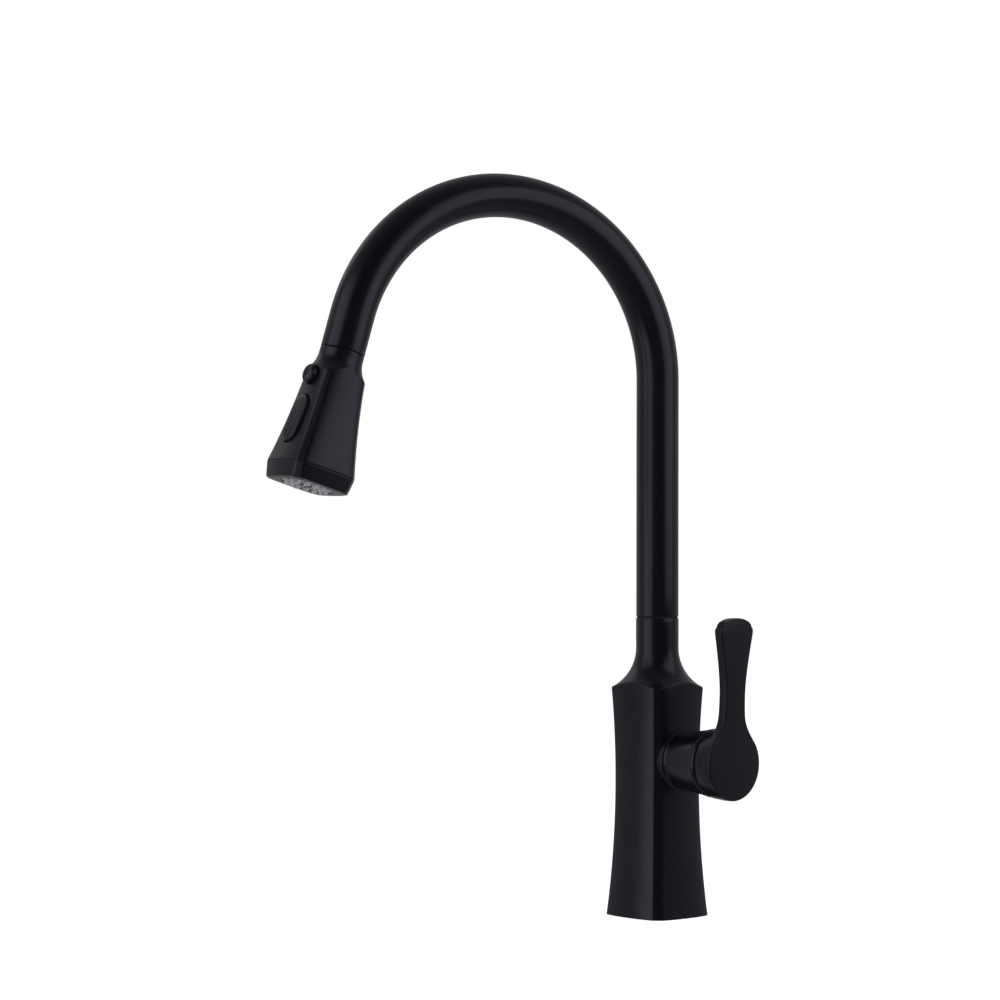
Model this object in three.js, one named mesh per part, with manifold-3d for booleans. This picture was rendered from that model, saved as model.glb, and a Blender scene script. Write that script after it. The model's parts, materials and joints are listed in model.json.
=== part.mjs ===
// Pull-down kitchen faucet: square base column, side lever, gooseneck spout and docked spray head.
// Millimetres, +Z up. The origin is on the column's axis at the deck; -Y faces the sink and +X the lever.
import * as THREE from "three";
import { mergeVertices } from "three/addons/utils/BufferGeometryUtils.js";
import Module from "manifold-3d";

const wasm = await Module();
wasm.setup();

// Shared clearances
const GAP = 0.3;
const RUNNING = 0.1;

// Square column with hollowed sides and a round neck
const COLUMN = {
  waistHalf: 19.0, waistZ: 79.5, flareRadius: 797, straightZ: 133, chamfer: 0.085,
  bowFoot: 2.2, bowTop: 1.3, neckRadius: 12.6, neckArc: 26, neckArcZ: 157, topZ: 174.45,
};
const SHANK = { outer: 16, inner: 13.6, top: 12.5, bottom: -66 };
const CAVITY = { radius: 14.5, top: 108, throat: 8.5, socket: 10.5, socketZ: 130 };
const DECK = 30;

// Lever side: everything turns about the X line at this height and tilts about the pivot
const LEVER = {
  z: 91.3, pivotX: 35.3, bossEnd: 49.4, hubBack: 50.4, coreBack: 53.3, hubFront: 62.4, hubRadius: 21,
  hollowRadius: 18.4, hollowEnd: 59.0, plateBack: 56.6, lean: 0.036, leanFrom: 12,
};
const CARTRIDGE = { radius: 12.5, back: 14.3, front: 40.0, bore: 9.6 };

// Spout: a gooseneck in one upright plane, turned a little from square
const SPOUT = {
  turn: -12.93, radius: 12.5, bore: 11.3, foot: 175.45, bendZ: 315.3, bend: 102.14, sweep: 164.18,
  straight: 21.9,
};
const HOSE = { radius: 5, bottom: -93, dockEnd: 23.3 };

// Spray head, in its own frame: z = 0 at the dock seam and the spray face at the lowest z
const HEAD = { roll: 6.6, belt: 68.7, length: 77.7, lipHalf: 18.0, wall: 2.0, chamfer: 0.09, bow: 1.0 };
const PAUSE = { depth: 18.2, radius: 5.5, front: -18.2 };
const ROCKER = {
  depth: 44, width: 14, height: 28, lean: 7.8, front: -18.9, thickness: 4.2, pinY: -11.4, margin: 0.8,
};

const DEG = Math.PI / 180;

// ---- solids -------------------------------------------------------------------------------------

function solid(geometry) {
  const bare = geometry.clone();
  bare.deleteAttribute("normal");
  bare.deleteAttribute("uv");
  const merged = mergeVertices(bare, 1e-4);
  return new wasm.Manifold(
    new wasm.Mesh({
      numProp: 3,
      vertProperties: new Float32Array(merged.attributes.position.array),
      triVerts: new Uint32Array(merged.index.array),
    }),
  );
}

function surface(manifold) {
  const { vertProperties, triVerts } = manifold.getMesh();
  const geometry = new THREE.BufferGeometry();
  geometry.setAttribute("position", new THREE.BufferAttribute(new Float32Array(vertProperties), 3));
  geometry.setIndex(new THREE.BufferAttribute(new Uint32Array(triVerts), 1));
  return geometry;
}

const join = (first, ...rest) => surface(rest.reduce((sum, g) => sum.add(solid(g)), solid(first)));
const carve = (first, ...rest) => surface(rest.reduce((left, g) => left.subtract(solid(g)), solid(first)));
const common = (first, second) => surface(solid(first).intersect(solid(second)));

// A profile of [radius, height] pairs turned about Z.
function turned(profile, sides = 20) {
  const points = profile.map(([r, z]) => new THREE.Vector2(r, z));
  if (profile[0][0] > 0 || profile[profile.length - 1][0] > 0) points.push(points[0].clone());
  if (THREE.ShapeUtils.area(points) < 0) points.reverse();
  return new THREE.LatheGeometry(points, sides).rotateX(Math.PI / 2);
}

const rod = (radius, z0, z1, sides = 20) => turned([[0, z0], [radius, z0], [radius, z1], [0, z1]], sides);

const ring = (outer, inner, z0, z1, sides = 20) =>
  turned([[inner, z0], [outer, z0], [outer, z1], [inner, z1]], sides);

const oRing = (outer, inner, z) =>
  new THREE.TorusGeometry((outer + inner) / 2, (outer - inner) / 2, 4, 12).translate(0, 0, z);

const block = (x0, x1, y0, y1, z0, z1) =>
  new THREE.BoxGeometry(x1 - x0, y1 - y0, z1 - z0).translate((x0 + x1) / 2, (y0 + y1) / 2, (z0 + z1) / 2);

// Points of an arc, as [radius, height] pairs, from one angle to another in degrees.
function arc(r, z, radius, from, to, steps) {
  return Array.from({ length: steps + 1 }, (_, i) => {
    const angle = (from + ((to - from) * i) / steps) * DEG;
    return [r + radius * Math.cos(angle), z + radius * Math.sin(angle)];
  });
}

// Lays a piece built along Z onto the lever's line, with its z as x.
const onLeverLine = (geometry) => geometry.rotateY(Math.PI / 2).translate(0, 0, LEVER.z);

// Lays a piece built along Z across the lever's line, along Y, at a given x.
const acrossLever = (geometry, x) => geometry.rotateX(Math.PI / 2).translate(x, 0, LEVER.z);

const around = (geometry, radius, degrees) =>
  geometry.translate(radius * Math.cos(degrees * DEG), radius * Math.sin(degrees * DEG), 0);

// ---- square, chamfered and slightly crowned sections -----------------------------------------------

// A square outline one unit across whose corners are cut off, with extra points along each face.
function squareOutline(chamfer, faceSteps = 3) {
  const end = 0.5 - chamfer;
  const points = [];
  for (let face = 0; face < 4; face++) {
    for (let i = 0; i <= faceSteps; i++) {
      const along = -end + (2 * end * i) / faceSteps;
      points.push(new THREE.Vector2(0.5, along).rotateAround(new THREE.Vector2(), face * 90 * DEG));
    }
  }
  return new THREE.Shape(points);
}

// Stretches the unit outline up a column: halfAt and bowAt give half the side and the crown at each height.
function squareColumn(z0, z1, steps, chamfer, halfAt, bowAt) {
  const geometry = new THREE.ExtrudeGeometry(squareOutline(chamfer), {
    depth: z1 - z0, steps, bevelEnabled: false,
  }).translate(0, 0, z0);
  const position = geometry.getAttribute("position");
  const end = 0.5 - chamfer;
  for (let i = 0; i < position.count; i++) {
    const [x, y, z] = [position.getX(i), position.getY(i), position.getZ(i)];
    const side = 2 * halfAt(z);
    const crown = (across) => bowAt(z) * (1 - (across / end) ** 2);
    const onX = Math.abs(x) > 0.5 - 1e-6;
    const onY = Math.abs(y) > 0.5 - 1e-6;
    position.setXY(
      i,
      x * side + (onX ? Math.sign(x) * crown(y) : 0),
      y * side + (onY ? Math.sign(y) * crown(x) : 0),
    );
  }
  return geometry;
}

function columnHalf(z) {
  const rise = Math.min(z, COLUMN.straightZ) - COLUMN.waistZ;
  return COLUMN.waistHalf + COLUMN.flareRadius - Math.sqrt(COLUMN.flareRadius ** 2 - rise ** 2);
}

const columnBow = (z) =>
  COLUMN.bowFoot + (COLUMN.bowTop - COLUMN.bowFoot) * Math.min(1, z / COLUMN.straightZ);

// Half the side of the spray head at a depth below the dock seam.
const headHalf = (depth) => 13.5 + 0.1012 * (depth - 20.8) + 0.00093 * (depth - 20.8) * (depth - 46.5);

// ---- base ---------------------------------------------------------------------------------------

function bodyCasting() {
  const { neckRadius, neckArc, neckArcZ, topZ } = COLUMN;
  const { radius, top, throat, socket, socketZ } = CAVITY;
  const square = squareColumn(0, topZ, 14, COLUMN.chamfer, columnHalf, columnBow);
  const envelope = turned([
    [0, -1], [60, -1], [60, neckArcZ - neckArc],
    ...arc(neckRadius + neckArc, neckArcZ, neckArc, 270, 180, 7), [neckRadius, topZ], [0, topZ],
  ], 32);
  const boss = onLeverLine(turned([
    [0, 12], [18.6, 12], [18.6, 20.6], ...arc(18.6, 22.8, 2.2, 270, 180, 3), [16.6, 24.5], [19.2, 43],
    [19.9, 46.2], [19.3, 48.2], [18.1, LEVER.bossEnd], [0, LEVER.bossEnd],
  ], 28));
  const bores = [
    ring(20.8, 16.9, -1, 2),
    turned([
      [0, -1], [SHANK.outer + GAP, -1], [SHANK.outer + GAP, 14], [radius, 14], [radius, top],
      [throat, top], [throat, socketZ], [socket, socketZ], [socket, 180], [0, 180],
    ]),
    onLeverLine(turned([[0, 5], [13, 5], [13, 40.3], [15.6, 40.3], [15.6, 60], [0, 60]])),
    rod(2.1, 0, 20, 10).rotateX(-Math.PI / 2).translate(0, 0, 161),
  ];
  return carve(join(common(square, envelope), boss), ...bores);
}

function mountingNut() {
  const hex = rod(21.9, -50, -40.5, 6).rotateZ(Math.PI / 6);
  const holes = [90, 270].map((angle) => around(rod(2.2, -60, -30, 10), 22.3, angle));
  return carve(join(hex, rod(25.5, -41, -36, 32)), rod(SHANK.outer + GAP, -60, -30), ...holes);
}

const jackScrew = (angle) => around(join(rod(2, -42, -34.3, 10), rod(3, -44.5, -41.3, 10)), 22.3, angle);

// The three copper tails and their places in the shank, as an angle about the axis.
const TAILS = { hot: 42, cold: -42, outlet: 0 };
const TAIL = { at: 9.9, radius: 3 };

const tail = (name, z0, z1) => around(ring(TAIL.radius, 2, z0, z1, 12), TAIL.at, TAILS[name]);

function tailFitting(name, radius, z0, z1) {
  const sleeve = turned([[2, z0], [radius - 0.8, z0], [radius, z0 + 1.5], [radius, z1], [2, z1]], 10);
  return around(sleeve, TAIL.at, TAILS[name]);
}

function hoseGuide() {
  const hole = (angle) => around(rod(TAIL.radius + GAP, -80, -50, 12), TAIL.at, angle);
  const holes = Object.values(TAILS).map(hole);
  return carve(ring(SHANK.inner - GAP, HOSE.radius + GAP, -65.5, -60), ...holes);
}

function valveManifold() {
  const half = common(ring(14.1, 5.7, 78, 104.5), block(3, 13, -20, 20, 70, 110));
  const up = Object.values(TAILS).map((angle) => around(rod(2, 70, 84, 10), TAIL.at, angle));
  return carve(half, ...up, ...portHoles(2, 9, 20));
}

// The cartridge's three ports, drilled along the lever's line.
function portHoles(radius, x0, x1) {
  return [90, 210, 330].map((angle) => onLeverLine(around(rod(radius, x0, x1, 10), 5, angle)));
}

function cartridgeBody() {
  const { radius, back, front, bore } = CARTRIDGE;
  const cup = turned([[0, back], [radius, back], [radius, front], [bore, front], [bore, 16.6], [0, 16.6]]);
  return carve(onLeverLine(cup), ...portHoles(2, 10, 20));
}

function cartridgeNut() {
  const body = onLeverLine(ring(15.3, 10, 40.6, 44.2));
  const slots = [0, 90, 180, 270].map((angle) =>
    onLeverLine(block(12.6, 16, -1.6, 1.6, 42.2, 46).rotateZ(angle * DEG)),
  );
  return carve(body, ...slots);
}

function bonnetDome() {
  const reach = (radius, r) => LEVER.pivotX + Math.sqrt(radius ** 2 - r ** 2);
  const shell = (radius, rs) => rs.map((r) => [r, reach(radius, r)]);
  const outside = shell(18, [15.2, 14, 12.4, 10.6]);
  return onLeverLine(turned([[15.3, 44.5], ...outside, ...shell(16.4, [10.6, 12.4, 13.4])]));
}

// ---- lever --------------------------------------------------------------------------------------

function leverOutline() {
  const edge = [
    [8.4, 29], [8.1, 38], [8.4, 47.5], [9.8, 59], [12, 70], [13.3, 75.6], [12.2, 78.5], [11.4, 80.2],
  ];
  const shape = new THREE.Shape();
  shape.moveTo(0, 5);
  shape.lineTo(17.6, 10);
  shape.quadraticCurveTo(9, 18.5, edge[0][0], edge[0][1]);
  edge.slice(1).forEach(([y, z]) => shape.lineTo(y, z));
  shape.quadraticCurveTo(7, 83.6, 0, 83.7);
  shape.quadraticCurveTo(-7, 83.6, -11.4, 80.2);
  [...edge].reverse().slice(1).forEach(([y, z]) => shape.lineTo(-y, z));
  shape.quadraticCurveTo(-9, 18.5, -17.6, 10);
  shape.closePath();
  return shape;
}

// Tips the blade of the lever outward, from a little above the hub's centre to its tip.
function leanOut(geometry) {
  const position = geometry.getAttribute("position");
  for (let i = 0; i < position.count; i++) {
    const height = position.getZ(i) - LEVER.z;
    position.setX(i, position.getX(i) + LEVER.lean * Math.max(0, height - LEVER.leanFrom));
  }
}

function leverHandle() {
  const { hubBack, coreBack, hubFront, hubRadius, hollowRadius, hollowEnd, plateBack } = LEVER;
  const plate = new THREE.ExtrudeGeometry(leverOutline(), {
    depth: hubFront - plateBack, bevelEnabled: false, curveSegments: 8,
  }).rotateX(Math.PI / 2).rotateZ(Math.PI / 2).translate(plateBack, 0, LEVER.z);
  leanOut(plate);
  const cup = onLeverLine(turned([
    [0, hubBack], [20.4, hubBack], [hubRadius, 56], [hubRadius, 61.4], [20.3, hubFront], [0, hubFront],
  ], 32));
  const hollow = onLeverLine(turned([
    [0, hubBack - 1], [hollowRadius, hubBack - 1], [hollowRadius, hollowEnd], [6.5, hollowEnd],
    [6.5, coreBack], [0, coreBack],
  ]));
  const socket = block(hubBack - 1, 58.7, -3.1, 3.1, LEVER.z - 3.1, LEVER.z + 3.1);
  const screwHole = rod(1.9, 3, 30, 10).rotateX(Math.PI).translate(56.2, 0, LEVER.z);
  return carve(join(plate, cup), hollow, socket, screwHole);
}

function cartridgeRotor() {
  const slot = onLeverLine(block(-6.2, 6.2, -3.4, 3.4, 20, 50));
  return carve(onLeverLine(rod(9.2, 28, 39.5)), slot, acrossLever(rod(1.35, -20, 20, 10), LEVER.pivotX));
}

function cartridgeStem() {
  const bar = block(30.5, 58.4, -3, 3, LEVER.z - 3, LEVER.z + 3);
  const neck = onLeverLine(rod(1.8, 25, 31, 10));
  const ball = new THREE.SphereGeometry(2.8, 12, 8).translate(25.5, 0, LEVER.z);
  return carve(join(bar, neck, ball), acrossLever(rod(1.35, -20, 20, 10), LEVER.pivotX));
}

function movingDisc() {
  return onLeverLine(turned([[0, 20.2], [5.8, 20.2], [5.8, 26.4], [3.2, 26.4], [3.2, 22.2], [0, 22.2]], 24));
}

// ---- spout --------------------------------------------------------------------------------------

class Gooseneck extends THREE.Curve {
  constructor(from, to = 0) {
    super();
    this.rise = SPOUT.bendZ - from;
    this.turn = SPOUT.bend * SPOUT.sweep * DEG;
    this.total = this.rise + this.turn + SPOUT.straight - to;
  }

  getPoint(t, target = new THREE.Vector3()) {
    const along = t * this.total;
    const past = Math.min(Math.max(along - this.rise, 0), this.turn);
    const angle = past / SPOUT.bend;
    const extra = Math.max(along - this.rise - this.turn, 0);
    const out = SPOUT.bend * (1 - Math.cos(angle)) + extra * Math.sin(angle);
    const foot = SPOUT.bendZ - this.rise + Math.min(along, this.rise);
    return target.set(0, -out, foot + SPOUT.bend * Math.sin(angle) + extra * Math.cos(angle));
  }
}

function swept(curve, outer, inner, sides, steps) {
  const section = new THREE.Shape().absarc(0, 0, outer, 0, 2 * Math.PI, false);
  if (inner > 0) section.holes.push(new THREE.Path().absarc(0, 0, inner, 0, 2 * Math.PI, true));
  return new THREE.ExtrudeGeometry(section, {
    steps, extrudePath: curve, curveSegments: sides, bevelEnabled: false,
  });
}

const spoutTube = () => swept(new Gooseneck(SPOUT.foot), SPOUT.radius, SPOUT.bore, 7, 30);
const pullHose = () => swept(new Gooseneck(HOSE.bottom, HOSE.dockEnd), HOSE.radius, 0, 4, 36);

function spoutFoot() {
  return turned([
    [6.6, 132.3], [9.1, 132.3], [9.1, 158.6], [8.2, 159], [8.2, 163], [9.1, 163.4], [9.1, 175.6],
    [10.9, 175.6], [10.9, 189], [8.2, 191], [6.6, 191],
  ]);
}

function hoseEndFitting() {
  const top = HOSE.bottom - GAP;
  return turned([[0, -106], [4.6, -106], [6, -103], [6, top], [0, top]], 12);
}

function dockInsert() {
  return turned([[9.9, 0.6], [11, 0.6], [11, 16], [6.6, 16], [6.6, 14], [9.9, 14]]);
}

// ---- hose end and spray head (z = 0 at the dock seam) ---------------------------------------------

function hoseCoupling() {
  return turned([
    [3, -11.4], [6.2, -11.4], [6.2, -8.6], [5.4, -8.4], [5.4, -6.4], [7.6, -6.2], [7.6, -0.8], [9.4, -0.2],
    [9.4, 10], [8.2, 13.5], [5.3, 13.5], [5.3, 8.7], [3, 8.7],
  ]);
}

function headShell() {
  const outer = squareColumn(-HEAD.belt, -0.4, 7, HEAD.chamfer, (z) => headHalf(-z), () => HEAD.bow + 0.6);
  const envelope = turned([
    [0, -80], [40, -80], [40, -24], ...arc(29.3, -3, 16.8, 235, 180, 8), [SPOUT.radius, -0.4], [0, -0.4],
  ], 28);
  const collar = rod(SPOUT.radius, -11, -0.4, 28);
  const inner = squareColumn(-80, -17, 5, HEAD.chamfer, (z) => headHalf(-z) - HEAD.wall, () => HEAD.bow);
  const pause = onPauseLine(rod(PAUSE.radius + GAP, 9.6, 30));
  return carve(
    join(common(outer, envelope), common(collar, envelope)), inner, rod(10.2, -18, 1), pause,
    rockerForm(ROCKER.margin, -9.4, 6.6),
  );
}

// The rocker's stadium, grown by a margin, between two depths through the face.
function rockerForm(margin, back, front) {
  const radius = ROCKER.width / 2 + margin;
  const reach = ROCKER.height / 2 - ROCKER.width / 2;
  const shape = new THREE.Shape();
  shape.absarc(0, reach, radius, 0, Math.PI, false);
  shape.absarc(0, -reach, radius, Math.PI, 2 * Math.PI, false);
  return new THREE.ExtrudeGeometry(shape, { depth: front - back, bevelEnabled: false, curveSegments: 10 })
    .translate(0, 0, back)
    .rotateX(Math.PI / 2)
    .rotateX(-ROCKER.lean * DEG)
    .translate(0, ROCKER.front, -ROCKER.depth);
}

function rockerButton() {
  const lug = block(-3, 3, -16, -9.8, -ROCKER.depth - 2, -ROCKER.depth + 2);
  return carve(join(rockerForm(0, -ROCKER.thickness, 0), lug), rockerPin(1 + RUNNING, 10));
}

const rockerPin = (radius, half) =>
  rod(radius, -half, half, 10).rotateY(Math.PI / 2).translate(0, ROCKER.pinY, -ROCKER.depth);

function buttonCarrier() {
  const ears = [-1, 1].map((side) => block(side * 5 - 1.4, side * 5 + 1.4, -12.8, -8, -47, -41));
  return carve(join(block(-6.4, 6.4, -9.2, -8, -54, -34), ...ears), rockerPin(1 + RUNNING, 10));
}

// Lays a piece built along Z onto the push button's line, with its z as the distance from the axis.
const onPauseLine = (geometry) => geometry.rotateX(Math.PI / 2).translate(0, 0, -PAUSE.depth);

function headWaterway() {
  return turned([
    [8, -1.6], [9.8, -1.6], [9.8, -9.6], [5.4, -11.8], [5.4, -28], [7, -30], [7, -56], [13.6, -60],
    [13.6, -66], [12.2, -66], [12.2, -61.6], [4, -55.5], [4, -14], [8, -12],
  ]).rotateZ(0.1);
}

function pauseSpring() {
  class Coil extends THREE.Curve {
    getPoint(t, target = new THREE.Vector3()) {
      const angle = t * 5 * 2 * Math.PI;
      return target.set(2.6 * Math.cos(angle), t * 6.1 - 12, 2.6 * Math.sin(angle) - PAUSE.depth);
    }
  }
  return swept(new Coil(), 0.3, 0, 2, 40);
}

function pauseButton() {
  const { radius, front } = PAUSE;
  return onPauseLine(turned([
    [0, 8.3], [1.9, 8.3], [1.9, 12.4], [radius, 12.4], [radius, 15.2], [radius - 0.7, -front], [0, -front],
  ], 24));
}

const lipHalf = (z) =>
  HEAD.lipHalf + ((headHalf(HEAD.belt) - HEAD.lipHalf) * (z + HEAD.length)) / (HEAD.length - HEAD.belt);

function spraySurround() {
  const outer = squareColumn(-HEAD.length, -HEAD.belt - GAP, 2, HEAD.chamfer, lipHalf, () => HEAD.bow);
  return carve(outer, rod(14.6, -90, -60, 28));
}

// Places of the spray nozzles: rings about the stream outlet.
const NOZZLES = [[10, 8.2], [14, 11.6]].flatMap(([count, radius]) =>
  Array.from({ length: count }, (_, i) => [radius, (360 * (i + (count > 10 ? 0.5 : 0))) / count]),
);

function nozzlePad() {
  const pins = NOZZLES.map(([radius, angle]) => around(rod(0.9, -79.2, -74.5, 5), radius, angle));
  return join(ring(13.4, 6.2, -75.4, -74.2), ...pins);
}

function facePlate() {
  const holes = NOZZLES.map(([radius, angle]) => around(rod(1.3, -90, -60, 5), radius, angle));
  return carve(ring(14.3, 5.9, -77.4, -75.8), ...holes);
}

const streamInsert = () =>
  turned([[0, -72], [5.4, -72], [5.4, -77.2], [4.6, -77.2], [4.6, -76.2], [0, -76.2]], 24);

function checkValve() {
  return turned([[0, -17.6], [2.6, -20], [3.6, -20], [3.6, -24], [0, -24]], 12);
}

// ---- scene graph ----------------------------------------------------------------------------------

const BLACK = { color: 0x2a2a30, roughness: 0.38, metalness: 0.3 };
const GREY = { color: 0x8d8d93, roughness: 0.3, metalness: 0 };
const BRASS = { color: 0xb79a5b, roughness: 0.35, metalness: 1 };
const STEEL = { color: 0xb4b6ba, roughness: 0.3, metalness: 1 };
const COPPER = { color: 0xb87650, roughness: 0.35, metalness: 1 };
const ACETAL = { color: 0xd9d8d2, roughness: 0.5, metalness: 0 };
const RUBBER = { color: 0x1b1b1c, roughness: 0.8, metalness: 0 };
const CERAMIC = { color: 0xe9e6de, roughness: 0.25, metalness: 0 };
const BRAID = { color: 0x4d4f55, roughness: 0.7, metalness: 0 };

function mesh(name, finish, geometry) {
  const made = new THREE.Mesh(geometry, new THREE.MeshStandardMaterial(finish));
  made.name = name;
  return made;
}

function baseGroup() {
  const { outer, inner, top, bottom } = SHANK;
  return new THREE.Group().add(
    mesh("body_casting", BLACK, bodyCasting()),
    mesh("base_gasket", RUBBER, ring(20.4, 17.3, 0, 1.7)),
    mesh("mounting_shank", BRASS, ring(outer, inner, bottom, top)),
    mesh("deck_washer_rubber", RUBBER, ring(26, outer + GAP, -DECK - 1.8, -DECK)),
    mesh("deck_washer_steel", STEEL, ring(26, outer + GAP, -DECK - 4, -DECK - 2.1)),
    mesh("mounting_nut", BRASS, mountingNut()),
    mesh("jack_screw_left", STEEL, jackScrew(90)),
    mesh("jack_screw_right", STEEL, jackScrew(270)),
    mesh("hose_guide", ACETAL, hoseGuide()),
    mesh("hot_inlet_tail", COPPER, tail("hot", -78, 77.7)),
    mesh("cold_inlet_tail", COPPER, tail("cold", -78, 77.7)),
    mesh("outlet_tail", COPPER, tail("outlet", -70, 77.7)),
    mesh("hot_inlet_fitting", BRASS, tailFitting("hot", 4.3, -90, -78.3)),
    mesh("cold_inlet_fitting", BRASS, tailFitting("cold", 4.3, -90, -78.3)),
    mesh("outlet_fitting", BRASS, tailFitting("outlet", 3.8, -77, -70.3)),
    mesh("swivel_lock_screw", STEEL, rod(1.9, 8.7, 12.3, 10).rotateX(-Math.PI / 2).translate(0, 0, 161)),
    mesh("lower_swivel_bush", ACETAL, ring(10.4, 9.35, 133.5, 140)),
    mesh("upper_swivel_bush", ACETAL, ring(10.4, 9.35, 165.5, 172.5)),
  );
}

function valveGroup() {
  return new THREE.Group().add(
    mesh("valve_manifold", BRASS, valveManifold()),
    mesh("cartridge_gasket", RUBBER, carve(onLeverLine(rod(8.6, 13.3, 14)), ...portHoles(2, 10, 20))),
    mesh("cartridge_body", ACETAL, cartridgeBody()),
    mesh("fixed_ceramic_disc", CERAMIC, carve(onLeverLine(rod(9.2, 16.9, 19.9)), ...portHoles(2, 10, 25))),
    mesh("cartridge_nut", BRASS, cartridgeNut()),
    mesh("bonnet_dome", BLACK, bonnetDome()),
    mesh("moving_ceramic_disc", CERAMIC, movingDisc()),
    mesh("cartridge_rotor", ACETAL, cartridgeRotor()),
    mesh("stem_pin", STEEL, acrossLever(rod(1.25, -8.6, 8.6, 10), LEVER.pivotX)),
    mesh("cartridge_stem", BRASS, cartridgeStem()),
    mesh("lever_handle", BLACK, leverHandle()),
    mesh("lever_set_screw", STEEL, rod(1.6, 3.4, 6.4, 10).rotateX(Math.PI).translate(56.2, 0, LEVER.z)),
    mesh("set_screw_plug", BLACK, rod(1.6, 18.6, 20.6, 10).rotateX(Math.PI).translate(56.2, 0, LEVER.z)),
  );
}

function hoseEndMeshes() {
  return [
    mesh("hose_coupling", BRASS, hoseCoupling()),
    mesh("hose_ferrule", STEEL, ring(6.1, 5.3, 13.8, 19.5, 24)),
    mesh("hose_tail", BRAID, rod(HOSE.radius, 9, 23, 10)),
    mesh("coupling_seal", RUBBER, oRing(7.9, 6.6, -9.6)),
  ];
}

function headMeshes() {
  return [
    mesh("head_shell", BLACK, headShell()),
    mesh("head_waterway", ACETAL, headWaterway()),
    mesh("check_valve", ACETAL, checkValve()),
    mesh("button_carrier", ACETAL, buttonCarrier()),
    mesh("rocker_pin", STEEL, rockerPin(1, 6.3)),
    mesh("rocker_button", BLACK, rockerButton()),
    mesh("pause_button", BLACK, pauseButton()),
    mesh("pause_spring", STEEL, pauseSpring()),
    mesh("diverter_spool", ACETAL, rod(3.4, -54, -32, 12)),
    mesh("spray_surround", BLACK, spraySurround()),
    mesh("nozzle_pad", GREY, nozzlePad()),
    mesh("spray_face_plate", GREY, facePlate()),
    mesh("stream_insert", GREY, streamInsert()),
  ];
}

function spoutGroup() {
  const end = new Gooseneck(SPOUT.foot).getPoint(1);
  const head = new THREE.Group().add(...headMeshes());
  head.rotation.z = HEAD.roll * DEG;
  const dock = new THREE.Group().add(
    head, ...hoseEndMeshes(), mesh("dock_insert", ACETAL, dockInsert()),
    mesh("dock_magnet", STEEL, ring(10.8, 6.9, 16.4, 20.6)),
  );
  dock.position.copy(end);
  dock.rotation.x = -(180 - SPOUT.sweep) * DEG;
  const spout = new THREE.Group().add(
    dock,
    mesh("spout_tube", BLACK, spoutTube()),
    mesh("spout_foot", BRASS, spoutFoot()),
    mesh("swivel_slip_ring", RUBBER, ring(11.9, 9.3, 174.7, 175.2)),
    mesh("lower_spout_seal", RUBBER, oRing(10.4, 9.5, 146)),
    mesh("upper_spout_seal", RUBBER, oRing(10.4, 9.5, 153)),
    mesh("pull_hose", BRAID, pullHose()),
    mesh("hose_end_fitting", BRASS, hoseEndFitting()),
  );
  spout.rotation.z = SPOUT.turn * DEG;
  return spout;
}

const faucet = new THREE.Group().add(baseGroup(), valveGroup(), spoutGroup());

export default faucet;
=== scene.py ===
"""Pull-down kitchen faucet in satin black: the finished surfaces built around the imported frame."""

import json
import logging
import math
from dataclasses import dataclass, field
from enum import Enum
from typing import Iterable, Sequence

import bmesh
import bpy
import numpy as np
from mathutils import Matrix, Vector


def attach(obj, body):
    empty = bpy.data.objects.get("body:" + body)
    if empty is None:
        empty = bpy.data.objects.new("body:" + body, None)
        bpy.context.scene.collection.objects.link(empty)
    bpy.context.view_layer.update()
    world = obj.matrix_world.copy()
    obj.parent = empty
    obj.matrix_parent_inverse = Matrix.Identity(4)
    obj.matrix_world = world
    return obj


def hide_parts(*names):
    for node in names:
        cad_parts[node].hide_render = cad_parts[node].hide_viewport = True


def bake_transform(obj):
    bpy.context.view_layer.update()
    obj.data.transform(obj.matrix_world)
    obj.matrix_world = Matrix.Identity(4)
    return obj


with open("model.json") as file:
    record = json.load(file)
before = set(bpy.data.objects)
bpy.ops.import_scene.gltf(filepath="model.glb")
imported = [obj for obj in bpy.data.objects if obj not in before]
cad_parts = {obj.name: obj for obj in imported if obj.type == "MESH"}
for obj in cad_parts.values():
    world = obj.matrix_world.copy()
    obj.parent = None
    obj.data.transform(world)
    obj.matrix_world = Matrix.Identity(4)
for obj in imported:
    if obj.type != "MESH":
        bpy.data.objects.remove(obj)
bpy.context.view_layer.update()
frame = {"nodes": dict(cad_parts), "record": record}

LOG = logging.getLogger("faucet")
MM = 0.001
Point = tuple[float, float]


# ---- finishes ------------------------------------------------------------------------------------


def linear(hex_colour: str) -> tuple[float, float, float, float]:
    """Turn an sRGB hex colour into linear red, green, blue and alpha.

    Args:
        hex_colour: six hex digits, such as "1b1b20".

    Returns:
        The linear colour with full alpha.
    """
    channels = [int(hex_colour[i : i + 2], 16) / 255 for i in (0, 2, 4)]
    curve = [c / 12.92 if c <= 0.04045 else ((c + 0.055) / 1.055) ** 2.4 for c in channels]
    return (*curve, 1.0)


def add_node(tree: bpy.types.NodeTree, kind: str, links: dict | None = None, **settings) -> bpy.types.Node:
    """Add one node, set its properties or inputs, and link its inputs.

    Args:
        tree: the node tree to add to.
        kind: the node's Blender type name.
        links: input name or index to the output socket that feeds it.
        **settings: property names, or input names with spaces as underscores.

    Returns:
        The new node.
    """
    node = tree.nodes.new(kind)
    for key, value in settings.items():
        if hasattr(node, key):
            setattr(node, key, value)
        else:
            node.inputs[key.replace("_", " ")].default_value = value
    for key, socket in (links or {}).items():
        tree.links.new(socket, node.inputs[key])
    return node


class Surface(Enum):
    """How a surface was made, which decides its fine pattern."""

    COATED = "baked coating"
    MOULDED = "moulded"
    TURNED = "turned or drawn metal"
    WOVEN = "woven sleeve"


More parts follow.
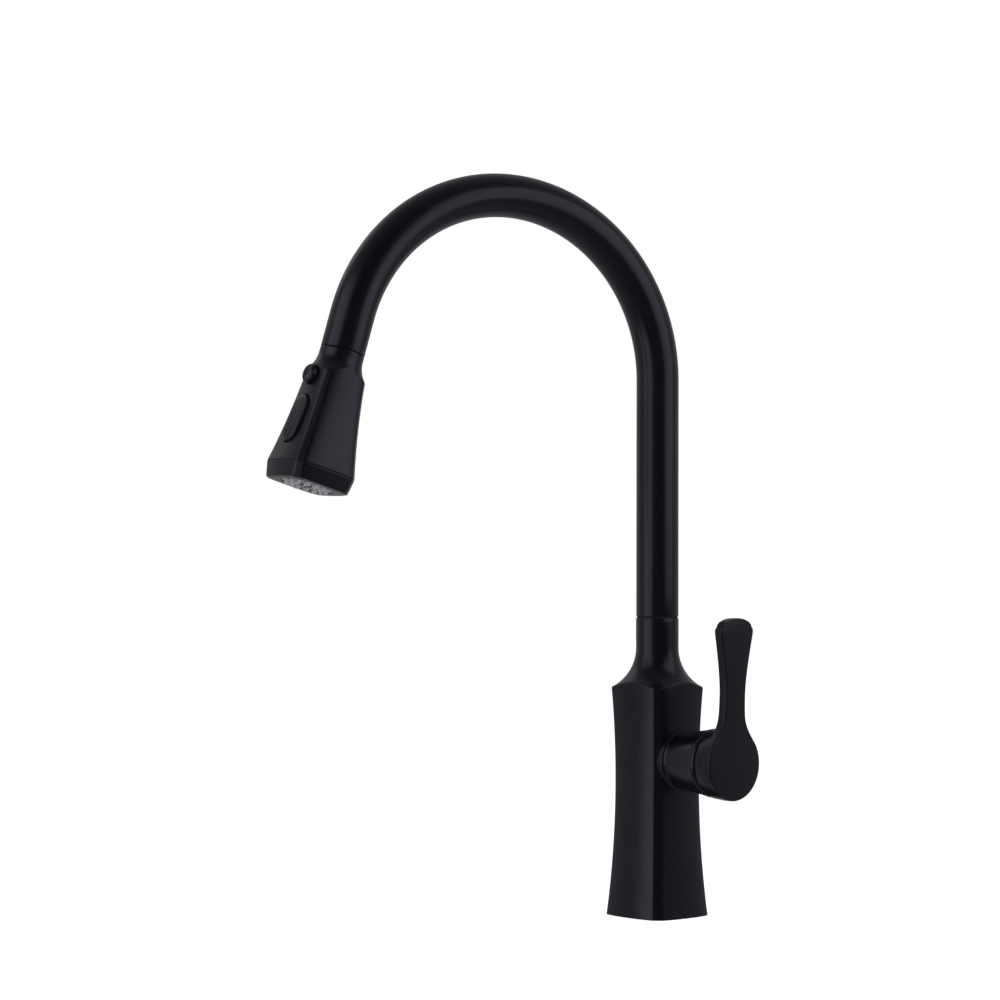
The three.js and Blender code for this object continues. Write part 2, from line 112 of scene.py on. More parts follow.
@dataclass(frozen=True)
class Finish:
    """One real finish: its colour, its gloss and the size of its fine pattern."""

    name: str
    colour: str
    roughness: float
    surface: Surface
    grain_mm: float
    metallic: float = 0.0
    relief: float = 0.05
    spread: float = 0.04
    ior: float = 1.5
    coat: float = 0.0
    tint: str = "ffffff"

    def material(self) -> bpy.types.Material:
        """Build this finish once and return its material."""
        made = bpy.data.materials.get(self.name)
        if made:
            return made
        made = bpy.data.materials.new(self.name)
        made.use_nodes = True
        tree = made.node_tree
        tree.nodes.clear()
        place = add_node(tree, "ShaderNodeTexCoord").outputs["Object"]
        pattern = self.pattern(tree, place)
        cloud = add_node(tree, "ShaderNodeTexNoise", {"Vector": place}, Scale=1 / (18 * MM), Detail=3.0)
        rough = add_node(
            tree, "ShaderNodeMapRange", {"Value": cloud.outputs["Fac"]},
            From_Min=0.3, From_Max=0.7,
            To_Min=self.roughness - self.spread, To_Max=self.roughness + self.spread,
        )
        bump = add_node(
            tree, "ShaderNodeBump", {"Height": pattern},
            Strength=self.relief, Distance=self.grain_mm * MM * 0.3,
        )
        shader = add_node(
            tree, "ShaderNodeBsdfPrincipled",
            {"Normal": bump.outputs["Normal"], "Roughness": rough.outputs["Result"]},
            Metallic=self.metallic,
        )
        if not self.metallic:
            shader.inputs["IOR"].default_value = self.ior
            shader.inputs["Specular Tint"].default_value = linear(self.tint)
        if self.coat:
            shader.inputs["Coat Weight"].default_value = self.coat
            shader.inputs["Coat Roughness"].default_value = 0.12
        shade = add_node(
            tree, "ShaderNodeMix", {"Factor": pattern}, data_type="RGBA", blend_type="MIX",
        )
        base = linear(self.colour)
        shade.inputs["A"].default_value = tuple(c * 0.86 for c in base[:3]) + (1.0,)
        shade.inputs["B"].default_value = tuple(min(1.0, c * 1.12) for c in base[:3]) + (1.0,)
        tree.links.new(shade.outputs["Result"], shader.inputs["Base Color"])
        add_node(tree, "ShaderNodeOutputMaterial", {"Surface": shader.outputs["BSDF"]})
        return made

    def pattern(self, tree: bpy.types.NodeTree, place: bpy.types.NodeSocket) -> bpy.types.NodeSocket:
        """Make the fine pattern's height, from 0 to 1.

        Args:
            tree: the material's node tree.
            place: the object coordinates.

        Returns:
            The socket that carries the height.
        """
        per_metre = 1 / (self.grain_mm * MM)
        if self.surface is Surface.TURNED:
            stretched = add_node(
                tree, "ShaderNodeMapping", {"Vector": place},
                Scale=(per_metre * 0.08, per_metre * 0.08, per_metre),
            )
            noise = add_node(tree, "ShaderNodeTexNoise", {"Vector": stretched.outputs["Vector"]}, Scale=1.0)
            return noise.outputs["Fac"]
        if self.surface is Surface.WOVEN:
            one = add_node(tree, "ShaderNodeMapping", {"Vector": place}, Rotation=(0.7, 0.0, 0.6))
            two = add_node(tree, "ShaderNodeMapping", {"Vector": place}, Rotation=(-0.7, 0.0, -0.6))
            waves = [
                add_node(
                    tree, "ShaderNodeTexWave", {"Vector": strand.outputs["Vector"]}, Scale=per_metre * 0.05,
                ).outputs["Fac"]
                for strand in (one, two)
            ]
            top = add_node(tree, "ShaderNodeMath", {0: waves[0], 1: waves[1]}, operation="MAXIMUM")
            return top.outputs["Value"]
        detail = 4.0 if self.surface is Surface.COATED else 2.0
        return add_node(
            tree, "ShaderNodeTexNoise", {"Vector": place}, Scale=per_metre, Detail=detail,
        ).outputs["Fac"]


# Baked satin enamel over metal: deep black with a cool cast, soft wide highlights and a faint orange peel.
BLACK_COAT = Finish(
    "satin_black_enamel", "0d0d12", 0.27, Surface.COATED, 0.9, relief=0.03, spread=0.03, tint="e7e3ff",
)
# Painted ABS of the spray head: the same black, a touch softer.
BLACK_ABS = Finish(
    "satin_black_abs", "0e0e13", 0.29, Surface.MOULDED, 0.7, relief=0.04, spread=0.03, tint="e7e3ff",
)
# Charcoal ABS of the rocker.
DARK_ABS = Finish(
    "charcoal_gloss_abs", "17171c", 0.24, Surface.MOULDED, 0.6, relief=0.04, spread=0.03, tint="e7e3ff",
)
# Silicone and moulded ABS of the spray face: mid grey with a wet gloss.
GREY_ABS = Finish("grey_moulded_abs", "3c3c42", 0.24, Surface.MOULDED, 0.6, relief=0.06, coat=0.4)
GREY_SILICONE = Finish("grey_silicone", "9a9aa0", 0.42, Surface.MOULDED, 0.5, relief=0.08, spread=0.05)
# Moulded rubber: dark, dull, with a fine dusty grain.
RUBBER = Finish("moulded_rubber", "161616", 0.75, Surface.MOULDED, 0.4, relief=0.25, spread=0.06)
# Machined yellow brass: fine turning lines.
BRASS = Finish("machined_brass", "c2a261", 0.28, Surface.TURNED, 0.12, metallic=1.0, relief=0.12)
# Turned stainless steel.
STEEL = Finish("turned_stainless", "b9bbbf", 0.24, Surface.TURNED, 0.12, metallic=1.0, relief=0.12)
# Drawn copper tube with a little tarnish.
COPPER = Finish("drawn_copper", "b5734d", 0.30, Surface.TURNED, 0.3, metallic=1.0, relief=0.10, spread=0.08)
# Natural acetal: milky, slightly waxy.
ACETAL = Finish("natural_acetal", "dad8d0", 0.42, Surface.MOULDED, 0.6, relief=0.05)
# Lapped ceramic: smooth off-white.
CERAMIC = Finish("lapped_ceramic", "e6e2d8", 0.18, Surface.MOULDED, 0.2, relief=0.03, spread=0.02)
# Woven nylon sleeve over the hose.
BRAID = Finish("nylon_braid", "3a3c42", 0.62, Surface.WOVEN, 1.2, relief=0.6)


# ---- meshes --------------------------------------------------------------------------------------


def soft_min(a: np.ndarray, b: np.ndarray, blend: float) -> np.ndarray:
    """The smaller of two lengths, rounded where they cross.

    Args:
        a: first lengths.
        b: second lengths.
        blend: how wide the rounding is, in the same unit.

    Returns:
        The blended minimum.
    """
    share = np.clip(0.5 + 0.5 * (b - a) / blend, 0, 1)
    return b * (1 - share) + a * share - blend * share * (1 - share)


def make_piece(
    name: str, points: np.ndarray, faces: list[Sequence[int]], finish: Finish, crease: float = 35.0,
) -> bpy.types.Object:
    """Make a mesh object from points in millimetres, with its faces turned outwards.

    Args:
        name: the piece's name.
        points: rows of x, y, z in millimetres.
        faces: corner numbers of each face.
        finish: what it is made of.
        crease: the angle in degrees past which an edge stays sharp.

    Returns:
        The new object, at the world's origin.
    """
    mesh = bpy.data.meshes.new(name)
    mesh.from_pydata((np.asarray(points) * MM).tolist(), [], faces)
    work = bmesh.new()
    work.from_mesh(mesh)
    bmesh.ops.remove_doubles(work, verts=work.verts, dist=1e-7)
    bmesh.ops.dissolve_degenerate(work, edges=work.edges, dist=1e-8)
    if work.calc_volume(signed=True) < 0:
        bmesh.ops.reverse_faces(work, faces=work.faces)
    work.to_mesh(mesh)
    work.free()
    return dressed(bpy.data.objects.new(name, mesh), finish, crease)


def dressed(piece: bpy.types.Object, finish: Finish, crease: float = 35.0) -> bpy.types.Object:
    """Link a piece to the scene, smooth it and give it one finish.

    Args:
        piece: the object.
        finish: what it is made of.
        crease: the angle in degrees past which an edge stays sharp.

    Returns:
        The same object.
    """
    if piece.name not in bpy.context.scene.collection.objects:
        bpy.context.scene.collection.objects.link(piece)
    mesh = piece.data
    mesh.polygons.foreach_set("use_smooth", [True] * len(mesh.polygons))
    mesh.set_sharp_from_angle(angle=math.radians(crease))
    mesh.materials.clear()
    mesh.materials.append(finish.material())
    mesh.polygons.foreach_set("material_index", [0] * len(mesh.polygons))
    mesh.update()
    return piece


def ring_faces(rings: int, sides: int, closed: bool) -> list[tuple[int, int, int, int]]:
    """Quads between neighbouring rings of points.

    Args:
        rings: how many rings there are.
        sides: points in each ring.
        closed: whether the last ring joins the first.

    Returns:
        The faces, four corners each.
    """
    spans = rings if closed else rings - 1
    faces = []
    for i in range(spans):
        low, high = i * sides, (i + 1) % rings * sides
        for j in range(sides):
            ahead = (j + 1) % sides
            faces.append((low + j, low + ahead, high + ahead, high + j))
    return faces


def lofted(
    name: str, rings: Sequence[np.ndarray], finish: Finish, closed: bool = False, crease: float = 35.0,
) -> bpy.types.Object:
    """Skin a stack of rings. An open stack is capped at both ends.

    Args:
        name: the piece's name.
        rings: equal rings of x, y, z points in millimetres.
        finish: what it is made of.
        closed: whether the stack comes back to its first ring, as a sleeve's wall does.
        crease: the angle in degrees past which an edge stays sharp.

    Returns:
        The new object.
    """
    sides = len(rings[0])
    faces: list[Sequence[int]] = list(ring_faces(len(rings), sides, closed))
    if not closed:
        faces.append(tuple(reversed(range(sides))))
        faces.append(tuple(range((len(rings) - 1) * sides, len(rings) * sides)))
    return make_piece(name, np.concatenate(rings), faces, finish, crease)


def moved(points: np.ndarray, place: Matrix) -> np.ndarray:
    """Move rows of points from a piece's own frame to the row's."""
    matrix = np.array(place)
    return points @ matrix[:3, :3].T + matrix[:3, 3]


def circle(radius: float, height: float, sides: int) -> np.ndarray:
    """A ring of points about Z."""
    turn = np.linspace(0, 2 * math.pi, sides, endpoint=False)
    return np.stack([radius * np.cos(turn), radius * np.sin(turn), np.full(sides, height)], axis=1)


def rounded(profile: Sequence[Point], radius: float, steps: int = 3) -> list[Point]:
    """Round the corners of a closed profile off the axis.

    Args:
        profile: the corners, as radius and height.
        radius: how far along each side the rounding starts.
        steps: how many segments each rounding has.

    Returns:
        The profile with a short arc at every corner off the axis.
    """
    out: list[Point] = []
    count = len(profile)
    for i, corner in enumerate(profile):
        here = np.array(corner, float)
        before = np.array(profile[i - 1], float) - here
        after = np.array(profile[(i + 1) % count], float) - here
        if here[0] < 1e-6:
            out.append(tuple(here))
            continue
        reach = min(radius, np.linalg.norm(before) * 0.45, np.linalg.norm(after) * 0.45)
        start = here + before / np.linalg.norm(before) * reach
        end = here + after / np.linalg.norm(after) * reach
        for k in range(steps + 1):
            t = k / steps
            out.append(tuple((1 - t) ** 2 * start + 2 * t * (1 - t) * here + t * t * end))
    return out


def turned(
    name: str, profile: Sequence[Point], finish: Finish, sides: int = 64, edge: float = 0.25,
    place: Matrix | None = None,
) -> bpy.types.Object:
    """Turn a closed profile about Z, with its corners eased.

    Args:
        name: the piece's name.
        profile: corners as radius and height in millimetres; a solid piece starts and ends on the axis.
        finish: what it is made of.
        sides: segments round the axis.
        edge: how far each corner is eased.
        place: where the piece's own frame lies, in millimetres.

    Returns:
        The new object.
    """
    path = rounded(profile, edge)
    solid = profile[0][0] < 1e-6
    rings = [circle(max(r, 1e-4), z, sides) for r, z in path]
    points = moved(np.concatenate(rings), Matrix() if place is None else place)
    faces = ring_faces(len(rings), sides, not solid)
    return make_piece(name, points, faces, finish)


def sleeve(inner: float, outer: float, bottom: float, top: float) -> list[Point]:
    """The profile of a plain sleeve or washer."""
    return [(inner, bottom), (outer, bottom), (outer, top), (inner, top)]


def curve_points(*beziers: Sequence[Point], steps: int = 14) -> list[Point]:
    """Points along joined cubic curves.

    Args:
        *beziers: four control points each; a curve starts where the last one ended.
        steps: points on each curve.

    Returns:
        The points, without doubles at the joins.
    """
    out: list[Point] = []
    for curve in beziers:
        a, b, c, d = (np.array(p, float) for p in curve)
        for k in range(steps + 1):
            if k == 0 and out:
                continue
            t, rest = k / steps, 1 - k / steps
            out.append(tuple(rest**3 * a + 3 * t * rest**2 * b + 3 * t * t * rest * c + t**3 * d))
    return out


def inset(outline: np.ndarray, distance: float) -> np.ndarray:
    """Move a closed counter-clockwise outline inwards by a distance."""
    ahead = np.roll(outline, -1, axis=0) - outline
    behind = outline - np.roll(outline, 1, axis=0)
    along = ahead / np.linalg.norm(ahead, axis=1)[:, None] + behind / np.linalg.norm(behind, axis=1)[:, None]
    along /= np.linalg.norm(along, axis=1)[:, None]
    return outline + distance * np.stack([-along[:, 1], along[:, 0]], axis=1)


def slab(
    name: str, outline: np.ndarray, bottom: float, top: float, finish: Finish, ease: Point, place: Matrix,
) -> bpy.types.Object:
    """A flat piece of any outline with rounded upper and lower edges.

    Args:
        name: the piece's name.
        outline: counter-clockwise points across the piece, in millimetres.
        bottom: the lower face's height.
        top: the upper face's height.
        finish: what it is made of.
        ease: the radius of the lower and the upper edge.
        place: where the piece's own frame lies, in millimetres.

    Returns:
        The new object.
    """
    steps = 6
    layers = []
    for k in range(steps + 1):
        angle = math.pi / 2 * k / steps
        layers.append((ease[0] * (1 - math.sin(angle)), bottom + ease[0] * (1 - math.cos(angle))))
    for k in range(steps + 1):
        angle = math.pi / 2 * k / steps
        layers.append((ease[1] * (1 - math.cos(angle)), top - ease[1] * (1 - math.sin(angle))))
    rings = []
    for depth, height in layers:
        flat = inset(outline, depth)
        rings.append(moved(np.column_stack([flat, np.full(len(flat), height)]), place))
    return lofted(name, rings, finish)


def carve(piece: bpy.types.Object, cutter: bpy.types.Object) -> None:
    """Cut one piece with another, and remove the cutter."""
    cut = piece.modifiers.new("cut", "BOOLEAN")
    cut.operation, cut.solver, cut.object = "DIFFERENCE", "EXACT", cutter
    bpy.context.view_layer.update()
    result = bpy.data.meshes.new_from_object(piece.evaluated_get(bpy.context.evaluated_depsgraph_get()))
    piece.modifiers.clear()
    piece.data = result
    bpy.data.objects.remove(cutter)


# ---- Geometry Nodes --------------------------------------------------------------------------------


def new_tree(name: str, inputs: dict[str, float | int]) -> tuple[bpy.types.NodeTree, bpy.types.Node]:
    """Start a Geometry Nodes tree with named inputs.

    Args:
        name: the tree's name.
        inputs: each input's name and default, whole numbers as integers.

    Returns:
        The tree and its input node.
    """
    tree = bpy.data.node_groups.new(name, "GeometryNodeTree")
    tree.interface.new_socket("Geometry", in_out="OUTPUT", socket_type="NodeSocketGeometry")
    for label, value in inputs.items():
        kind = "NodeSocketInt" if isinstance(value, int) else "NodeSocketFloat"
        tree.interface.new_socket(label, in_out="INPUT", socket_type=kind).default_value = value
    return tree, tree.nodes.new("NodeGroupInput")


def grown(
    name: str, tree: bpy.types.NodeTree, values: dict[str, float | int], finish: Finish, place: Matrix,
) -> bpy.types.Object:
    """Evaluate a Geometry Nodes tree into a plain mesh piece.

    Args:
        name: the piece's name.
        tree: the node tree.
        values: the inputs to set, by name.
        finish: what it is made of.
        place: where the piece's own frame lies, in millimetres.

    Returns:
        The new object, with no modifier left.
    """
    holder = bpy.data.objects.new(name, bpy.data.meshes.new(name + "_seed"))
    bpy.context.scene.collection.objects.link(holder)
    modifier = holder.modifiers.new("grow", "NODES")
    modifier.node_group = tree
    sockets = {s.name: s.identifier for s in tree.interface.items_tree if s.in_out == "INPUT"}
    for label, value in values.items():
        modifier[sockets[label]] = value
    bpy.context.view_layer.update()
    mesh = bpy.data.meshes.new_from_object(holder.evaluated_get(bpy.context.evaluated_depsgraph_get()))
    holder.modifiers.clear()
    holder.data = mesh
    to_metres = Matrix(place)
    to_metres.translation = to_metres.translation * MM
    mesh.transform(to_metres)
    return dressed(holder, finish)


def finish_tree(
    tree: bpy.types.NodeTree, geometry: bpy.types.NodeSocket, finish: Finish,
) -> bpy.types.NodeTree:
    """End a tree in Realize Instances and Set Material."""
    real = add_node(tree, "GeometryNodeRealizeInstances", {"Geometry": geometry})
    painted = add_node(tree, "GeometryNodeSetMaterial", {"Geometry": real.outputs["Geometry"]})
    painted.inputs["Material"].default_value = finish.material()
    add_node(tree, "NodeGroupOutput", {"Geometry": painted.outputs["Geometry"]})
    return tree


def nozzle_ring_tree() -> bpy.types.NodeTree:
    """Soft spray nozzles standing in a ring, each a small cone with a blunt tip."""
    tree, given = new_tree(
        "nozzle_ring", {"Count": 10, "Ring Radius": 0.01, "Root": 0.0012, "Tip": 0.0007, "Height": 0.003},
    )
    ring = add_node(
        tree, "GeometryNodeCurvePrimitiveCircle",
        {"Resolution": given.outputs["Count"], "Radius": given.outputs["Ring Radius"]},
    )
    points = add_node(tree, "GeometryNodeCurveToPoints", {"Curve": ring.outputs["Curve"]}, mode="EVALUATED")
    cone = add_node(
        tree, "GeometryNodeMeshCone",
        {
            "Radius Top": given.outputs["Tip"], "Radius Bottom": given.outputs["Root"],
            "Depth": given.outputs["Height"],
        },
        Vertices=18, Side_Segments=2,
    )
    copies = add_node(
        tree, "GeometryNodeInstanceOnPoints",
        {"Points": points.outputs["Points"], "Instance": cone.outputs["Mesh"]},
    )
    return finish_tree(tree, copies.outputs["Instances"], GREY_SILICONE)


def helix_tree(finish: Finish, sides: int) -> bpy.types.NodeTree:
    """A wire or a thread ridge wound about Z.

    Args:
        finish: what it is made of.
        sides: how many sides its section has.

    Returns:
        The tree.
    """
    tree, given = new_tree(
        "helix_" + finish.name, {"Radius": 0.01, "Turns": 4.0, "Rise": 0.01, "Wire": 0.0005, "Steps": 24},
    )
    spiral = add_node(
        tree, "GeometryNodeCurveSpiral",
        {
            "Resolution": given.outputs["Steps"], "Rotations": given.outputs["Turns"],
            "Start Radius": given.outputs["Radius"], "End Radius": given.outputs["Radius"],
            "Height": given.outputs["Rise"],
        },
    )
    section = add_node(
        tree, "GeometryNodeCurvePrimitiveCircle", {"Radius": given.outputs["Wire"]}, Resolution=sides,
    )
    wire = add_node(
        tree, "GeometryNodeCurveToMesh",
        {"Curve": spiral.outputs["Curve"], "Profile Curve": section.outputs["Curve"]},
        Fill_Caps=True,
    )
    return finish_tree(tree, wire.outputs["Mesh"], finish)


def stud_field_tree() -> bpy.types.NodeTree:
    """Small domes in a staggered grid inside a stadium, for a finger pad."""
    tree, given = new_tree(
        "stud_field",
        {
            "Width": 0.012, "Height": 0.026, "Columns": 8, "Rows": 20, "Stud": 0.0004, "Keep": 0.005,
            "Reach": 0.006,
        },
    )
    grid = add_node(
        tree, "GeometryNodeMeshGrid",
        {
            "Size X": given.outputs["Width"], "Size Y": given.outputs["Height"],
            "Vertices X": given.outputs["Columns"], "Vertices Y": given.outputs["Rows"],
        },
    )
    spot = add_node(tree, "GeometryNodeInputPosition")
    split = add_node(tree, "ShaderNodeSeparateXYZ", {"Vector": spot.outputs["Position"]})
    tall = add_node(tree, "ShaderNodeMath", {0: split.outputs["Y"]}, operation="ABSOLUTE")
    past = add_node(
        tree, "ShaderNodeMath", {0: tall.outputs["Value"], 1: given.outputs["Reach"]}, operation="SUBTRACT",
    )
    over = add_node(tree, "ShaderNodeMath", {0: past.outputs["Value"]}, operation="MAXIMUM")
    over.inputs[1].default_value = 0.0
    offset = add_node(tree, "ShaderNodeCombineXYZ", {"X": split.outputs["X"], "Y": over.outputs["Value"]})
    length = add_node(tree, "ShaderNodeVectorMath", {0: offset.outputs["Vector"]}, operation="LENGTH")
    inside = add_node(
        tree, "ShaderNodeMath", {0: length.outputs["Value"], 1: given.outputs["Keep"]}, operation="LESS_THAN",
    )
    stud = add_node(tree, "GeometryNodeMeshIcoSphere", {"Radius": given.outputs["Stud"]}, Subdivisions=2)
    copies = add_node(
        tree, "GeometryNodeInstanceOnPoints",
        {
            "Points": grid.outputs["Mesh"], "Selection": inside.outputs["Value"],
            "Instance": stud.outputs["Mesh"],
        },
    )
    return finish_tree(tree, copies.outputs["Instances"], DARK_ABS)


# ---- shared section --------------------------------------------------------------------------------


@dataclass(frozen=True)
class SquareSection:
    """A square with crowned sides and cut corners, as a distance from its centre by direction."""

    ease: float = 0.45

    def directions(self, per_quarter: int = 56) -> np.ndarray:
        """Directions round the section, closer together near the cut corners."""
        even = np.linspace(0, 1, per_quarter, endpoint=False)
        bunched = even - 0.11 * np.sin(4 * math.pi * even) / (2 * math.pi) * 2
        quarter = (bunched - 0.5) * math.pi / 2 + math.pi / 4
        return np.concatenate([quarter + k * math.pi / 2 for k in range(4)])

    def reach(self, turn: np.ndarray, half: float, cut: float, bow: float) -> np.ndarray:
        """How far the section's edge is in each direction.

        Args:
            turn: directions in radians.
            half: half the square's side.
            cut: the cut corner's leg.
            bow: how far each side is crowned at its middle.

        Returns:
            One distance for each direction.
        """
        local = turn - np.round(turn / (math.pi / 2)) * math.pi / 2
        across = np.clip(np.abs(np.tan(local)) * half / (half - cut), 0, 1)
        side = (half + bow * (1 - across**2)) / np.cos(local)
        corner = (2 * half - cut) / math.sqrt(2) / np.cos(np.abs(local) - math.pi / 4)
        return soft_min(side, corner, self.ease)


def polar_ring(reach: np.ndarray, turn: np.ndarray, height: float) -> np.ndarray:
    """A ring from distances and directions about Z."""
    return np.stack([reach * np.cos(turn), reach * np.sin(turn), np.full(len(turn), height)], axis=1)


# ---- the base --------------------------------------------------------------------------------------


@dataclass
class Column:
    """The waisted square column with its round neck and its valve boss."""

    waist_half: float = 19.0
    waist_z: float = 79.5
    flare: float = 797.0
    straight_z: float = 133.0
    cut: float = 0.17
    bow_foot: float = 2.2
    bow_top: float = 1.3
    neck: float = 12.6
    neck_arc: float = 26.0
    neck_arc_z: float = 157.0
    top: float = 174.45
    lever_z: float = 91.3
    section: SquareSection = field(default_factory=SquareSection)

    def half(self, z: float) -> float:
        """Half the column's side at a height."""
        rise = min(z, self.straight_z) - self.waist_z
        return self.waist_half + self.flare - math.sqrt(self.flare**2 - rise**2)

    def envelope(self, z: float) -> float:
        """The round limit that turns the square into the neck."""
        if z >= self.neck_arc_z:
            return self.neck
        drop = self.neck_arc_z - z
        if drop >= self.neck_arc - 1e-6:
            return 60.0
        return self.neck + self.neck_arc - math.sqrt(self.neck_arc**2 - drop**2)

    def bore(self, z: float) -> float:
        """The radius of the hollow inside at a height."""
        steps = [(14.0, 16.3), (108.0, 14.5), (130.0, 8.5), (200.0, 10.5)]
        return next(radius for limit, radius in steps if z < limit)

    def build(self) -> list[bpy.types.Object]:
        """Build the column's wall and its boss."""
        turn = self.section.directions()
        heights = [0.0, 0.12, 0.35, 0.7, *np.arange(4, 126, 4.0), *np.arange(126, 131, 1.0)]
        heights += [*np.arange(131.2, 141, 0.3), *np.arange(141, 157, 0.8), *np.arange(157, 174, 2.5)]
        heights += [self.top - 0.3, self.top - 0.1, self.top]
        rings = []
        for z in heights:
            bow = self.bow_foot + (self.bow_top - self.bow_foot) * min(1, z / self.straight_z)
            square = self.section.reach(turn, self.half(z), self.cut * self.half(z), bow)
            reach = soft_min(square, np.full(len(turn), self.envelope(z)), 0.5)
            ease = max(0, 0.35 - z) ** 2 * 3 + max(0, z - self.top + 0.3) ** 2 * 3
            rings.append(polar_ring(reach - ease, turn, z))
        inside = [self.top, 130.01, 129.99, 108.01, 107.99, 14.01, 13.99, 0.0]
        rings += [polar_ring(np.full(len(turn), self.bore(min(z, 174))), turn, z) for z in inside]
        column = lofted("column", rings, BLACK_COAT, closed=True, crease=50)
        along_x = Matrix.Translation((0, 0, self.lever_z)) @ Matrix.Rotation(math.pi / 2, 4, "Y")
        boss = turned(
            "valve_boss",
            [
                (13.0, 14.8), (17.8, 14.8), (17.8, 20.8), (16.9, 21.8), (16.4, 23.2), (16.6, 24.8),
                (19.2, 43.2), (19.9, 46.2), (19.7, 47.6), (18.3, 49.4), (15.6, 49.4), (15.6, 40.3),
                (13.0, 40.3),
            ],
            BLACK_COAT, sides=128, edge=0.6, place=along_x,
        )
        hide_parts("body_casting")
        return [column, boss]


@dataclass
class Fixings:
    """What holds the faucet down, below the deck."""

    shank: float = 16.0
    bore: float = 13.6
    bottom: float = -66.0
    top: float = 12.5
    pitch: float = 1.5

    def build(self) -> list[bpy.types.Object]:
        """Build the threaded shank with its ridge."""
        wall = sleeve(self.bore, self.shank - 0.9, self.bottom, self.top)
        core = turned("shank_core", wall, BRASS, sides=96)
        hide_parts("mounting_shank")
        rise = self.top - self.bottom - 5
        thread = grown(
            "shank_thread", helix_tree(BRASS, 4),
            {
                "Radius": (self.shank - 0.75) * MM, "Turns": rise / self.pitch, "Rise": rise * MM,
                "Wire": 0.72 * MM, "Steps": 40,
            },
            BRASS, Matrix.Translation((0, 0, self.bottom + 2.5)),
        )
        return [core, thread]


# ---- the lever -------------------------------------------------------------------------------------


@dataclass
class Lever:
    """The lever with its round hub."""

    axis_z: float = 91.3
    hub_back: float = 50.4
    plate_back: float = 56.6
    front: float = 62.4
    hub: float = 20.4
    disc: float = 21.0
    hollow: float = 18.4
    lean: float = 0.036
    bend: Point = (8.0, 16.0)

    def outline(self) -> np.ndarray:
        """The face's outline: the hub's disc, the flare, the blade and its stepped tip."""
        start = math.asin(10 / self.disc)
        arc = [
            (self.disc * math.cos(a), self.disc * math.sin(a))
            for a in np.linspace(-math.pi / 2, start, 56)
        ]
        side = curve_points(
            (arc[-1], (16.5, 13.8), (8.6, 20.0), (8.4, 29.0)),
            ((8.4, 29.0), (8.1, 33.0), (8.0, 37.0), (8.1, 42.0)),
            ((8.1, 42.0), (8.5, 51.0), (10.6, 62.0), (13.1, 74.4)),
            ((13.1, 74.4), (13.5, 76.2), (13.3, 77.8), (12.2, 78.4)),
            ((12.2, 78.4), (11.8, 78.8), (11.9, 79.6), (11.4, 80.2)),
            ((11.4, 80.2), (9.4, 82.4), (5.0, 83.7), (0.0, 83.7)),
        )
        right = arc[1:] + side[1:]
        left = [(-x, y) for x, y in reversed(right[:-1])]
        return np.array([*right, *left, (0.0, -self.disc)])

    def lean_out(self, blade: bpy.types.Object) -> None:
        """Tip the blade outward above the hub, round an even bend.

        Args:
            blade: the flat face and blade.
        """
        start, end = self.bend
        work = bmesh.new()
        work.from_mesh(blade.data)
        for height in np.linspace(start, end, 5):
            bmesh.ops.bisect_plane(
                work, geom=[*work.verts, *work.edges, *work.faces], dist=1e-7,
                plane_co=(0, 0, (self.axis_z + height) * MM), plane_no=(0, 0, 1),
            )
        for corner in work.verts:
            height = corner.co.z / MM - self.axis_z
            round_the_bend = (min(max(height, start), end) - start) ** 2 / (2 * (end - start))
            corner.co.x += self.lean * (round_the_bend + max(0.0, height - end)) * MM
        work.to_mesh(blade.data)
        work.free()
        dressed(blade, BLACK_COAT)

    def build(self) -> list[bpy.types.Object]:
        """Build the face with its blade, and the hub's cup behind it."""
        upright = Matrix(((0, 0, 1, 0), (1, 0, 0, 0), (0, 1, 0, self.axis_z), (0, 0, 0, 1)))
        blade = slab(
            "lever_blade", self.outline(), self.plate_back, self.front, BLACK_COAT, (0.7, 0.8), upright,
        )
        self.lean_out(blade)
        along_x = Matrix.Translation((0, 0, self.axis_z)) @ Matrix.Rotation(math.pi / 2, 4, "Y")
        cup = turned(
            "lever_hub",
            [
                (self.hollow, self.hub_back), (self.hub, self.hub_back),
                (self.hub + 0.4, self.plate_back - 0.3), (self.hub + 0.4, 58.0), (self.hollow, 58.0),
            ],
            BLACK_COAT, sides=128, edge=0.5, place=along_x,
        )
        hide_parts("lever_handle")
        return [blade, cup]


# ---- the spout -------------------------------------------------------------------------------------


